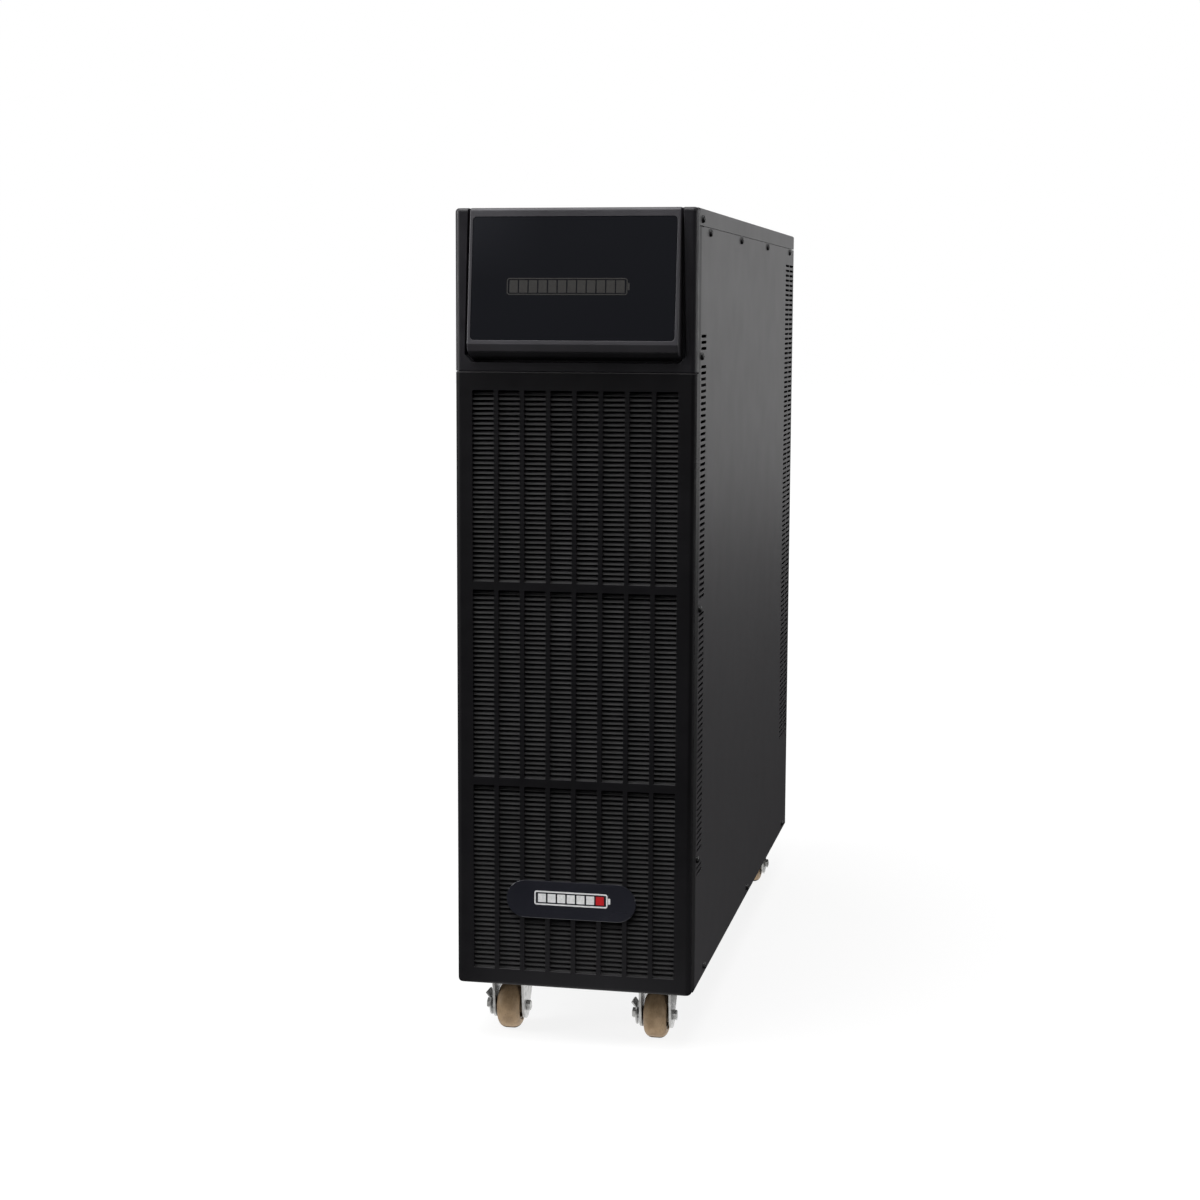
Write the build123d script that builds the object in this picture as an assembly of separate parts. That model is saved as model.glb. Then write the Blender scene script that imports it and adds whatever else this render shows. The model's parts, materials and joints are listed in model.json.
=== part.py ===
"""External battery cabinet for an on-line UPS: a tall, narrow sheet-steel tower on four swivel
casters, with a plastic front (display bezel above a louvred grille) and five tiers of sealed
lead-acid blocks inside. Millimetres, +Z up, the front faces -Y. The origin is on the floor,
at the middle of the cabinet's footprint."""

import math
import os

from build123d import *

# ---- driving dimensions -------------------------------------------------------------------

WIDTH = 250.0          # cabinet body, side to side
DEPTH = 815.0          # cabinet body, fascia face to rear panel
HEIGHT = 808.0         # cabinet body, underside to top
CASTER_HEIGHT = 64.0   # floor to underside of the body
PROUD = 16.0           # how far the display lip and the rear sockets stand out of the body

SHEET = 1.2            # panels and covers
PAN_SHEET = 2.0        # base pan
TRAY_SHEET = 1.5
FIT = 0.05             # radial clearance of a running fit

HALF = WIDTH / 2
FRONT = -DEPTH / 2
REAR = DEPTH / 2
BASE = CASTER_HEIGHT
TOP = BASE + HEIGHT
SKIN_IN = HALF - SHEET            # inner face of the side skins

# plastic front
FASCIA_DEPTH = 15.0
FASCIA_WALL = 3.0
FASCIA_EDGE = 6.0                 # radius of the front's upright edges
SPLIT = BASE + 644.0              # joint between upper and lower fascia
SPLIT_GAP = 0.3
CROWN_EDGE = 4.0                  # radius of the front's top edge
BROW = 1.1                        # chamfer along the top of the lower fascia

# display: a wedge that stands out of a pocket in the upper fascia
POCKET_TOP = TOP + 1.0            # the pocket is open at the top
POCKET_FLOOR = BASE + 653.0
POCKET_HALF_TOP = 110.6
POCKET_HALF_LOW = 114.5
POCKET_CORNER = 7.5
HOUSING_HALF = 108.4
HOUSING_TOP = TOP
LIP_HIGH = BASE + 671.5
LIP_LOW = BASE + 664.5
WINDOW_WIDE = 210.0
WINDOW_HIGH = 124.5
WINDOW_MIDDLE = BASE + 737.3
WINDOW_THICK = 1.8
WINDOW_RECESS = 2.0

# louvred grille
COLUMNS = 8
COLUMN_PITCH = 27.3
COLUMN_WIDE = 22.6
BANK_TOPS = (BASE + 624.7, BASE + 419.4, BASE + 214.1)
SLATS_PER_BANK = 39
SLAT_PITCH = 5.05
BANK_HIGH = SLATS_PER_BANK * SLAT_PITCH - 0.3
GRILLE_PLATE = 2.0
SLAT_DEPTH = 4.0
SLAT_TALL = 3.5
SLAT_LEAN = (1.9, 0.9)            # the slat's front top edge: how far back and how far below its crest
BADGE = (138.0, 40.0, 1.2)
BADGE_AT = (-2.0, BASE + 95.0)

# side skins
STRIP = 9.5                       # bare edge of the front upright beside the fascia
COVER_FLANGE = 17.5               # how far the top cover wraps down
PANEL_TOP = TOP - COVER_FLANGE - 1.0
PANEL_FRONT = FRONT + FASCIA_DEPTH + STRIP
WING = 5.0                        # the uprights lap the lower fascia from this depth on
WEB = 30.0                        # how far the uprights reach in behind the fascia
JOGGLE_END = FRONT + 36.5         # where the uprights' inner lap under the skins ends
PAN_HIGH = 22.0
VENT_HIGH = 3.0
FRONT_VENTS = (FRONT + 30.0,)                 # where each column of slots starts
FRONT_VENT_LONG = 32.0
FRONT_VENT_ROWS = (BASE + 122.2, 6.2, 91)     # lowest row, pitch, rows
REAR_VENTS = (REAR - 85.0, REAR - 43.0)
REAR_VENT_LONG = 37.0
REAR_VENT_ROWS = (BASE + 136.5, 6.37, 100)

# screws
SCREW_R = 2.0
SCREW_HEAD_R = 3.9
SCREW_HEAD_HIGH = 3.0
SCREW_HEAD_DOME = 2.3
CROSS = (4.0, 0.9, 1.6)           # length, width and floor of the cross recess
SCREW_REACH = 3.0
SOCKET_SCREW_REACH = 6.0
SCREW_HOLE_R = SCREW_R + FIT
SIDE_SCREWS = (
    [(FRONT + y, TOP - 11.0) for y in (29.0,)]
    + [(FRONT + y, BASE + 785.0) for y in (79.0, 307.0, 536.0, 764.0)]
    + [(FRONT + 30.0, BASE + z) for z in (660.0, 402.0, 139.0)]
    + [(FRONT + y, BASE + 10.0) for y in (83.0, 419.0, 770.0)]
)
REAR_SCREWS = [(x, BASE + z) for x in (-114.0, 114.0) for z in (60.0, 235.0, 410.0, 585.0, 762.0)]
REAR_SCREWS += [(x, BASE + 10.0) for x in (-80.0, 0.0, 80.0)]
REAR_SCREWS += [(x, TOP - 9.0) for x in (-80.0, 0.0, 80.0)]

# batteries: sealed 12 V 9 Ah blocks, three abreast and four deep on each of five trays
TIERS = 5
TIER_PITCH = 157.0
FIRST_TRAY = BASE + 12.0
BLOCK = (65.0, 151.0, 94.0)
BLOCK_PITCH_X = 68.0
BLOCK_PITCH_Y = 155.0
ABREAST = 3
DEEP = 4
TRAY_HALF = 119.8
TRAY_FRONT = FRONT + 50.0
TRAY_LONG = 640.0
TRAY_FLANGE = 20.0
BLOCKS_FRONT = TRAY_FRONT + 12.0

# rear electrics
BREAKER_AT = (-62.0, BASE + 712.0)
BREAKER_BODY = (36.0, 62.0, 85.0)
BREAKER_NOSE = (36.0, 7.0, 45.0)
TOGGLE_SLOT = (17.0, 13.0, 30.0)
TOGGLE_PIVOT_OUT = 1.0            # pivot behind the rear panel's outer face
TOGGLE_HUB_R = 6.0
TOGGLE_REACH = 16.0
TOGGLE_REST = -30.0               # degrees, pointing down and out: off
SOCKETS_AT = ((22.0, BASE + 712.0), (80.0, BASE + 712.0))
SOCKET = (46.0, 26.0)             # outside of a socket's shroud
SOCKET_WALL = 3.0
SOCKET_DEEP = 34.0
EARTH_AT = (-100.0, BASE + 660.0)
EARTH_R = 3.0
FUSES_AT_Z = BASE + 560.0

# casters
FRONT_CASTERS = (80.0, 74.0)      # kingpin from the middle, and from the fascia face
REAR_CASTERS = (90.0, 95.0)       # kingpin from the middle, and from the rear panel
TRAIL = 16.0                      # axle to kingpin
WHEEL_R = 25.0
TREAD_HALF = 12.25
TREAD_CORNER = 8.5
CORE_R = 15.5
HUB_R = 8.0
AXLE_R = 3.0
FORK_HALF = 17.25
FORK_SHEET = 2.5
CROWN_LOW = 53.0
CROWN_FRONT = 34.0
CROWN_BACK = 20.0
LEG_R = 14.0                      # rounded lower end of a fork leg
KINGPIN_R = 5.0
RACE_R = 21.0
PLATE = (64.0, 54.0, 2.5)
PLATE_HOLES = (46.0, 36.0)
PLATE_HOLE_R = 3.3
BRAKE_X = FORK_HALF + 3.0         # inner face of the brake lever
BRAKE_SHEET = 1.5


# ---- helpers ------------------------------------------------------------------------------

def block(x0, x1, y0, y1, z0, z1):
    """An upright block between two corners."""
    centre = Pos((x0 + x1) / 2, (y0 + y1) / 2, (z0 + z1) / 2)
    return centre * Box(x1 - x0, y1 - y0, z1 - z0)


def along_x(points, x0, x1):
    """A prism whose (y, z) outline runs from x0 to x1."""
    outline = make_face(Polyline(*[(x0, y, z) for y, z in points], close=True))
    return extrude(outline, amount=x1 - x0, dir=(1, 0, 0))


def along_y(points, y0, y1):
    """A prism whose (x, z) outline runs from y0 to y1."""
    outline = make_face(Polyline(*[(x, y0, z) for x, z in points], close=True))
    return extrude(outline, amount=y1 - y0, dir=(0, 1, 0))


def rod_x(radius, x0, x1, y, z):
    """A round bar along X."""
    return Pos((x0 + x1) / 2, y, z) * Rot(0, 90, 0) * Cylinder(radius, x1 - x0)


def rod_y(radius, y0, y1, x, z):
    """A round bar along Y."""
    return Pos(x, (y0 + y1) / 2, z) * Rot(90, 0, 0) * Cylinder(radius, y1 - y0)


def rod_z(radius, z0, z1, x=0.0, y=0.0):
    """A round bar along Z."""
    return Pos(x, y, (z0 + z1) / 2) * Cylinder(radius, z1 - z0)


def hexagon_z(across_flats, z0, z1, x=0.0, y=0.0):
    """A hexagonal prism along Z."""
    outline = RegularPolygon(across_flats / 2, 6, major_radius=False)
    return Pos(x, y, z0) * extrude(outline, amount=z1 - z0)


def edges_along(solid, axis, keep):
    """The edges parallel to an axis whose middle passes a test."""
    return [e for e in solid.edges().filter_by(axis) if keep(e.center())]


def punched(outline, holes, thickness):
    """A flat sheet in XY with its holes, rising from z = 0."""
    return extrude(Face(outline, holes), amount=thickness)


def slot_wires(starts, length, high, rows, screws=()):
    """Round-ended vent slots: one row above the other, from each start, clear of any screws.
    rows is the lowest row, the pitch and the count."""
    lowest, pitch, count = rows
    room = SCREW_HEAD_R + high / 2 + 0.5
    wires = []
    for start in starts:
        near = [z for x, z in screws if start - SCREW_HEAD_R < x < start + length + SCREW_HEAD_R]
        for row in range(count):
            level = lowest + row * pitch
            if all(abs(level - z) > room for z in near):
                spot = Pos(start + length / 2, level)
                wires.append((spot * SlotOverall(length, high)).wire())
    return wires


def save(name, *pieces):
    """One STEP file for one sub-part, which may be a group of separate solids."""
    solids = [solid for piece in pieces for solid in piece.solids()]
    node = solids[0] if len(solids) == 1 else Compound(solids)
    export_step(node, f"parts/{name}.step")
    print(name, len(solids))


# ---- sheet-metal body ---------------------------------------------------------------------

def base_pan():
    """The floor of the cabinet, with a flange turned up on all four sides."""
    y0 = FRONT + FASCIA_DEPTH + SHEET
    y1 = REAR - SHEET
    pan = block(-SKIN_IN, SKIN_IN, y0, y1, BASE, BASE + PAN_HIGH)
    inside = (-SKIN_IN + PAN_SHEET, SKIN_IN - PAN_SHEET, y0 + PAN_SHEET, y1 - PAN_SHEET)
    pan -= block(*inside, BASE + PAN_SHEET, BASE + 30.0)
    for x, y, _ in casters():
        for hole_x, hole_y in plate_holes():
            pan -= rod_z(PLATE_HOLE_R, BASE - 1, BASE + PAN_SHEET + 1, x + hole_x, y + hole_y)
    for y, z in SIDE_SCREWS:
        if z < BASE + 22:
            pan -= rod_x(SCREW_HOLE_R, -HALF, HALF, y, z)
    for x, z in REAR_SCREWS:
        if z < BASE + 22:
            pan -= rod_y(SCREW_HOLE_R, REAR - 20, REAR, x, z)
    return pan


def side_panel(side):
    """A flat side skin with its vent columns. side is +1 for +X."""
    outline = Pos((PANEL_FRONT + REAR) / 2, (BASE + 0.5 + PANEL_TOP) / 2) * Rectangle(
        REAR - PANEL_FRONT, PANEL_TOP - BASE - 0.5
    )
    holes = slot_wires(FRONT_VENTS, FRONT_VENT_LONG, VENT_HIGH, FRONT_VENT_ROWS, SIDE_SCREWS)
    holes += slot_wires(REAR_VENTS, REAR_VENT_LONG, VENT_HIGH, REAR_VENT_ROWS, SIDE_SCREWS)
    for y, z in SIDE_SCREWS:
        if z < PANEL_TOP:
            holes.append((Pos(y, z) * Circle(SCREW_HOLE_R)).wire())
    skin = Plane.YZ.location * punched(outline.wire(), holes, SHEET)
    return Pos(SKIN_IN, 0, 0) * skin if side > 0 else Pos(-HALF, 0, 0) * skin


def top_cover():
    """The lid: a flat top with flanges turned down at the sides and the rear."""
    y0 = FRONT + FASCIA_DEPTH
    cover = block(-HALF, HALF, y0, REAR, TOP - COVER_FLANGE, TOP)
    bends = cover.edges().group_by(Axis.Z)[-1].filter_by(lambda e: e.center().Y > y0 + 1)
    cover = fillet(bends, 2.5)
    inside = (-HALF + SHEET, HALF - SHEET, y0 - 1, REAR - SHEET)
    cover -= block(*inside, TOP - COVER_FLANGE - 1, TOP - SHEET)
    for y, z in SIDE_SCREWS:
        if z > PANEL_TOP:
            cover -= rod_x(SCREW_HOLE_R, -HALF - 1, HALF + 1, y, z)
    for x, z in REAR_SCREWS:
        if z > PANEL_TOP:
            cover -= rod_y(SCREW_HOLE_R, REAR - 5, REAR + 5, x, z)
    return cover


def rear_panel():
    """The rear skin, with vents and cut-outs for the breaker, the sockets and the earth stud."""
    z0 = BASE + 0.5
    outline = Pos(0, (z0 + PANEL_TOP) / 2) * Rectangle(2 * SKIN_IN - 0.4, PANEL_TOP - z0)
    holes = []
    for bank_low in (BASE + 90.0, BASE + 270.0, BASE + 450.0):
        holes += slot_wires((-88.0, -40.0, 8.0, 56.0), 32.0, 3.6, (bank_low, 7.5, 17))
    for x, z in REAR_SCREWS:
        if z < PANEL_TOP:
            holes.append((Pos(x, z) * Circle(SCREW_HOLE_R)).wire())
    nose = Rectangle(BREAKER_NOSE[0] + 0.4, BREAKER_NOSE[2] + 0.4)
    holes.append((Pos(*BREAKER_AT) * nose).wire())
    for spot in SOCKETS_AT:
        mouth = Rectangle(SOCKET[0] + 0.4, SOCKET[1] + 0.4)
        holes.append((Pos(*spot) * mouth).wire())
        for ear in (-1, 1):
            centre = Pos(spot[0], spot[1] + ear * (SOCKET[1] / 2 + 6.0))
            holes.append((centre * Circle(SCREW_HOLE_R)).wire())
    holes.append((Pos(*EARTH_AT) * Circle(EARTH_R + FIT)).wire())
    return Pos(0, REAR, 0) * Plane.XZ.location * punched(outline.wire(), holes, SHEET)


def front_uprights():
    """Two folded uprights behind the fascia; their edges show as a narrow strip."""
    pair = []
    y0 = FRONT + FASCIA_DEPTH
    z0 = BASE + PAN_SHEET
    for side in (-1, 1):
        strip = block(SKIN_IN, HALF, y0, PANEL_FRONT - 0.3, BASE + 0.5, PANEL_TOP)
        web = block(HALF - WEB, HALF, y0, y0 + SHEET, BASE + 0.5, PANEL_TOP)
        wing = block(SKIN_IN, HALF, FRONT + WING, y0, BASE + 6.0, SPLIT - 1.0)
        joggle = block(SKIN_IN - SHEET, SKIN_IN, y0, JOGGLE_END, BASE + PAN_HIGH, PANEL_TOP)
        upright = strip + wing + web + joggle
        upright -= block(0, SKIN_IN, y0 + SHEET, JOGGLE_END + 5, z0 - 5, BASE + PAN_HIGH)
        for y, z in SIDE_SCREWS:
            if y < JOGGLE_END and z < PANEL_TOP:
                upright -= rod_x(SCREW_HOLE_R, 0, HALF, y, z)
        pair.append(upright if side > 0 else mirror(upright, about=Plane.YZ))
    return pair


def front_crossbars():
    """Three flat rails between the uprights, which the fascia clips into."""
    y0 = FRONT + FASCIA_DEPTH
    reach = HALF - WEB
    rows = ((BASE + 24.0, BASE + 46.0), (SPLIT - 10.0, SPLIT + 14.0), (TOP - 36.0, TOP - 2.0))
    return [block(-reach, reach, y0, y0 + SHEET, low, high) for low, high in rows]


def inner_frame():
    """Two rails under the lid and four posts that carry the trays."""
    pieces = []
    y0 = FRONT + 46.0
    y1 = REAR - 20.0
    for side in (-1, 1):
        leg = block(SKIN_IN - SHEET, SKIN_IN, y0, y1, BASE + 772.0, TOP - SHEET)
        ledge = block(SKIN_IN - 20.0, SKIN_IN, y0, y1, TOP - 2 * SHEET, TOP - SHEET)
        rail = leg + ledge
        for y, z in SIDE_SCREWS:
            if BASE + 772 < z < PANEL_TOP:
                rail -= rod_x(SCREW_HOLE_R, 0, HALF, y, z)
        pieces.append(rail if side > 0 else mirror(rail, about=Plane.YZ))
        for post_y in (FRONT + 95.0, FRONT + 640.0):
            post = block(TRAY_HALF, TRAY_HALF + 2.0, post_y, post_y + 25.0, BASE + 2.0, BASE + 770.0)
            pieces.append(post if side > 0 else mirror(post, about=Plane.YZ))
    return pieces


# ---- plastic front ------------------------------------------------------------------------

def fascia_shell(z0, z1, front_wall):
    """A shallow tray that opens to the rear, with its upright front edges rounded."""
    shell = block(-HALF, HALF, FRONT, FRONT + FASCIA_DEPTH, z0, z1)
    upright = edges_along(shell, Axis.Z, lambda c: c.Y < FRONT + 1)
    shell = fillet(upright, FASCIA_EDGE)
    inside = HALF - FASCIA_WALL
    hollow = block(
        -inside, inside, FRONT + front_wall, FRONT + FASCIA_DEPTH + 1, z0 + FASCIA_WALL, z1 - FASCIA_WALL
    )
    return shell, hollow


def pocket_outline(grow):
    """The display pocket's outline, grown by a wall."""
    corner = POCKET_CORNER
    right = [
        (POCKET_HALF_TOP + grow, POCKET_TOP + grow),
        (POCKET_HALF_LOW + grow, POCKET_FLOOR + corner),
        (POCKET_HALF_LOW + grow - corner, POCKET_FLOOR - grow),
    ]
    return right + [(-x, z) for x, z in reversed(right)]


def upper_fascia():
    """The display bezel: a hollow tray with an open-topped pocket that the display stands in."""
    shell, hollow = fascia_shell(SPLIT, TOP, FASCIA_WALL)
    crown = shell.edges().group_by(Axis.Z)[-1].filter_by(lambda e: e.center().Y < FRONT + 1)
    shell = fillet(crown, CROWN_EDGE)
    wall = 2.0
    tub = along_y(pocket_outline(wall), FRONT + 1.0, FRONT + FASCIA_DEPTH)
    shell = shell - hollow + (shell & tub)
    shell -= along_y(pocket_outline(0.0), FRONT - 1, FRONT + FASCIA_DEPTH - wall)
    return shell


def housing_profile():
    """The display wedge from the side: (y, z), front face leaning out towards its lip."""
    back = FRONT + FASCIA_DEPTH - 2.0
    return [
        (back, HOUSING_TOP),
        (FRONT, HOUSING_TOP),
        (FRONT - PROUD, LIP_HIGH),
        (FRONT - PROUD + 2.5, LIP_LOW),
        (FRONT - PROUD + 7.0, LIP_LOW - 3.0),
        (back, POCKET_FLOOR + 2.0),
    ]


def window_plane():
    """The leaning front face of the display: its middle, across, and outward."""
    lean = math.atan2(PROUD, HOUSING_TOP - LIP_HIGH)
    middle = (WINDOW_MIDDLE - LIP_HIGH) / (HOUSING_TOP - LIP_HIGH)
    origin = (0, FRONT - PROUD * (1 - middle), WINDOW_MIDDLE)
    return Plane(origin=origin, x_dir=(1, 0, 0), z_dir=(0, -math.cos(lean), math.sin(lean)))


def display_housing():
    """The wedge that frames the display window, hollow behind."""
    housing = along_x(housing_profile(), -HOUSING_HALF, HOUSING_HALF)
    lip = edges_along(housing, Axis.X, lambda c: c.Y < FRONT - PROUD + 4)
    housing = fillet(lip, 1.8)
    crown = edges_along(housing, Axis.X, lambda c: abs(c.Y - FRONT) < 1 and c.Z > TOP - 1)
    housing = fillet(crown, CROWN_EDGE)
    sides = [e for e in housing.edges() if abs(e.center().X) > HOUSING_HALF - 0.1]
    housing = chamfer([e for e in sides if e.center().Y < FRONT + FASCIA_DEPTH - 3.0], 0.8)
    face = window_plane().location
    recess = RectangleRounded(WINDOW_WIDE, WINDOW_HIGH, 4.0)
    housing -= face * extrude(recess, amount=-WINDOW_RECESS, both=False)
    cavity = block(
        -HOUSING_HALF + 3, HOUSING_HALF - 3, FRONT + 4, FRONT + 20, LIP_HIGH + 6, HOUSING_TOP - 3
    )
    return housing - cavity


def display_window():
    """The dark gloss pane, a hair below its frame."""
    pane = extrude(RectangleRounded(WINDOW_WIDE - 0.3, WINDOW_HIGH - 0.3, 3.85), amount=WINDOW_THICK)
    pane = chamfer(pane.edges().group_by(Axis.Z)[-1], 0.35)
    return window_plane().location * Pos(0, 0, -WINDOW_RECESS) * pane


def column_left(column):
    """Left edge of one column of the grille."""
    first = -(COLUMNS * COLUMN_PITCH - (COLUMN_PITCH - COLUMN_WIDE)) / 2
    return first + column * COLUMN_PITCH


def lower_fascia():
    """The tall front tray, opened by three banks of eight columns for the louvres."""
    shell, hollow = fascia_shell(BASE, SPLIT - SPLIT_GAP, GRILLE_PLATE)
    feet = edges_along(shell, Axis.Y, lambda c: c.Z < BASE + 1)
    shell = fillet(feet, 4.0)
    brow = shell.edges().group_by(Axis.Z)[-1].filter_by(lambda e: e.center().Y < FRONT + 1)
    shell = chamfer(brow, BROW)
    shell -= hollow
    for side in (-1, 1):
        lap = sorted((side * (SKIN_IN - 0.2), side * (HALF + 1.0)))
        shell -= block(*lap, FRONT + WING - 0.3, FRONT + FASCIA_DEPTH + 1, BASE + 5.0, SPLIT)
    for bank_top in BANK_TOPS:
        for column in range(COLUMNS):
            x0 = column_left(column)
            y0 = FRONT - 1
            shell -= block(x0, x0 + COLUMN_WIDE, y0, FRONT + 3, bank_top - BANK_HIGH, bank_top)
    reach = -column_left(0) + 3.0
    for side in (-1, 1):
        inner = side * reach
        outer = side * (reach + 2.0)
        rail = (min(inner, outer), max(inner, outer), FRONT + GRILLE_PLATE, FRONT + 7.0)
        shell += block(*rail, BASE + 8.0, SPLIT - 8.0)
    return shell


def grille_louvres():
    """One slat across all the columns in each row; its front face leans back to the light."""
    y0 = FRONT + GRILLE_PLATE
    y1 = y0 + SLAT_DEPTH
    reach = -column_left(0) + 3.0
    lean_y, lean_z = y0 + SLAT_LEAN[0], SLAT_TALL - SLAT_LEAN[1]
    slats = []
    for bank_top in BANK_TOPS:
        for row in range(SLATS_PER_BANK):
            z = bank_top - (row + 1) * SLAT_PITCH
            profile = [(y0, z), (y1, z), (y1, z + SLAT_TALL), (lean_y, z + lean_z)]
            slats.append(along_x(profile, -reach, reach))
    return slats


def grille_filter():
    """A dark dust filter behind the louvres."""
    reach = -column_left(0) + 3.0
    return block(-reach, reach, FRONT + 8.0, FRONT + 11.0, BASE + 8.0, SPLIT - 8.0)


def badge():
    """A blank pill-shaped badge on the grille."""
    pill = extrude(SlotOverall(BADGE[0], BADGE[1]), amount=BADGE[2])
    pill = chamfer(pill.edges().group_by(Axis.Z)[-1], 0.4)
    return Pos(BADGE_AT[0], FRONT, BADGE_AT[1]) * Plane.XZ.location * pill


# ---- fasteners ----------------------------------------------------------------------------

def pan_screw(length):
    """A cross-head screw along +Z: its head is above z = 0, its shank below."""
    head = rod_z(SCREW_HEAD_R, 0, SCREW_HEAD_HIGH)
    head = fillet(head.edges().group_by(Axis.Z)[-1], SCREW_HEAD_DOME)
    long, wide, floor = CROSS[0] / 2, CROSS[1] / 2, CROSS[2]
    cross = block(-long, long, -wide, wide, floor, SCREW_HEAD_HIGH + 1)
    cross += block(-wide, wide, -long, long, floor, SCREW_HEAD_HIGH + 1)
    return head - cross + rod_z(SCREW_R, -length, 0)


def panel_screws():
    """The black screws of both side skins, the lid and the rear skin."""
    screw = pan_screw(SCREW_REACH)
    screws = []
    for y, z in SIDE_SCREWS:
        screws.append(Pos(HALF, y, z) * Rot(0, 90, 0) * screw)
        screws.append(Pos(-HALF, y, z) * Rot(0, -90, 0) * screw)
    for x, z in REAR_SCREWS:
        screws.append(Pos(x, REAR, z) * Rot(-90, 0, 0) * screw)
    for x, z in SOCKETS_AT:
        for ear in (-1, 1):
            spot = Pos(x, REAR + SOCKET_WALL, z + ear * (SOCKET[1] / 2 + 6.0))
            screws.append(spot * Rot(-90, 0, 0) * pan_screw(SOCKET_SCREW_REACH))
    return screws


# ---- batteries ----------------------------------------------------------------------------

def tray_z(tier):
    """Underside of a tray."""
    return FIRST_TRAY + tier * TIER_PITCH


def battery_tray(tier):
    """A folded steel tray with turned-up sides and front."""
    z0 = tray_z(tier)
    y1 = TRAY_FRONT + TRAY_LONG
    tray = block(-TRAY_HALF, TRAY_HALF, TRAY_FRONT, y1, z0, z0 + TRAY_FLANGE)
    inside = TRAY_HALF - TRAY_SHEET
    return tray - block(
        -inside, inside, TRAY_FRONT + TRAY_SHEET, y1 + 1, z0 + TRAY_SHEET, z0 + TRAY_FLANGE + 1
    )


def block_spots():
    """The middle of every battery on a tray."""
    spots = []
    for row in range(DEEP):
        for column in range(ABREAST):
            x = (column - (ABREAST - 1) / 2) * BLOCK_PITCH_X
            spots.append((x, BLOCKS_FRONT + BLOCK[1] / 2 + row * BLOCK_PITCH_Y))
    return spots


def batteries(tier):
    """The sealed blocks of one tray: a case and a lid a little smaller than it."""
    z0 = tray_z(tier) + TRAY_SHEET
    lid = 12.0
    wide = BLOCK[0] / 2
    long = BLOCK[1] / 2
    case = block(-wide, wide, -long, long, 0, BLOCK[2] - lid)
    case += block(-wide + 0.8, wide - 0.8, -long + 0.8, long - 0.8, BLOCK[2] - lid, BLOCK[2])
    return [Pos(x, y, z0) * case for x, y in block_spots()]


def battery_links():
    """Terminal blades on every battery and the straps that join them in series."""
    pieces = []
    blade_y = BLOCK[1] / 2 - 12.0
    for tier in range(TIERS):
        z0 = tray_z(tier) + TRAY_SHEET + BLOCK[2]
        for x, y in block_spots():
            for end in (-1, 1):
                blade = Pos(x + end * 20.0, y + blade_y, z0)
                pieces.append(blade * block(-3.2, 3.2, -2.0, 2.0, 0, 6.0))
        for x, y in block_spots()[: DEEP * ABREAST - ABREAST]:
            strap = (x + 18.0, x + 22.0, y + blade_y + 2.0, y + blade_y + BLOCK_PITCH_Y - 2.0)
            pieces.append(block(*strap, z0 + 3.5, z0 + 5.5))
    return pieces


def battery_retainers():
    """Straps over the blocks, two to a tray, that stand on the tray."""
    straps = []
    reach = TRAY_HALF - TRAY_SHEET
    high = TRAY_SHEET + BLOCK[2]
    for tier in range(TIERS):
        z0 = tray_z(tier)
        for row in (0, DEEP - 1):
            y = BLOCKS_FRONT + BLOCK[1] / 2 + row * BLOCK_PITCH_Y
            strap = block(-reach, reach, y - 9, y + 9, z0 + TRAY_SHEET, z0 + high + 2.0)
            strap -= block(-reach + 2, reach - 2, y - 10, y + 10, z0, z0 + high)
            straps.append(strap)
    return straps


# ---- rear electrics -----------------------------------------------------------------------

def dc_breaker():
    """Two-pole battery breaker: its body is inside, its nose comes through the rear skin."""
    x, z = BREAKER_AT
    wide, deep, high = (size / 2 for size in BREAKER_BODY)
    y0 = REAR - SHEET
    body = block(x - wide, x + wide, y0 - 2 * deep, y0, z - high, z + high)
    half_nose = BREAKER_NOSE[2] / 2
    nose = block(x - wide, x + wide, y0, REAR + BREAKER_NOSE[1], z - half_nose, z + half_nose)
    nose = chamfer(nose.edges().group_by(Axis.Y)[-1], 1.0)
    slot_x = TOGGLE_SLOT[0] / 2
    slot_z = TOGGLE_SLOT[2] / 2
    y1 = REAR + BREAKER_NOSE[1]
    slot = block(x - slot_x, x + slot_x, y1 - TOGGLE_SLOT[1], y1 + 1, z - slot_z, z + slot_z)
    pin = rod_x(1.5, x - slot_x, x + slot_x, REAR + TOGGLE_PIVOT_OUT, z)
    return body + nose - slot + pin


def breaker_toggle():
    """The breaker's handle on its pivot pin, pointing down in the off position."""
    x, z = BREAKER_AT
    half = TOGGLE_SLOT[0] / 2 - 0.5
    hub = rod_x(TOGGLE_HUB_R, -half, half, 0, 0)
    paddle = block(-half + 1, half - 1, 0, TOGGLE_REACH, -2.0, 2.0)
    tips = edges_along(paddle, Axis.X, lambda c: c.Y > 1)
    paddle = fillet(tips, 1.2)
    handle = hub + paddle - rod_x(1.5 + FIT, -half - 1, half + 1, 0, 0)
    return Pos(x, REAR + TOGGLE_PIVOT_OUT, z) * Rot(TOGGLE_REST, 0, 0) * handle


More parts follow.
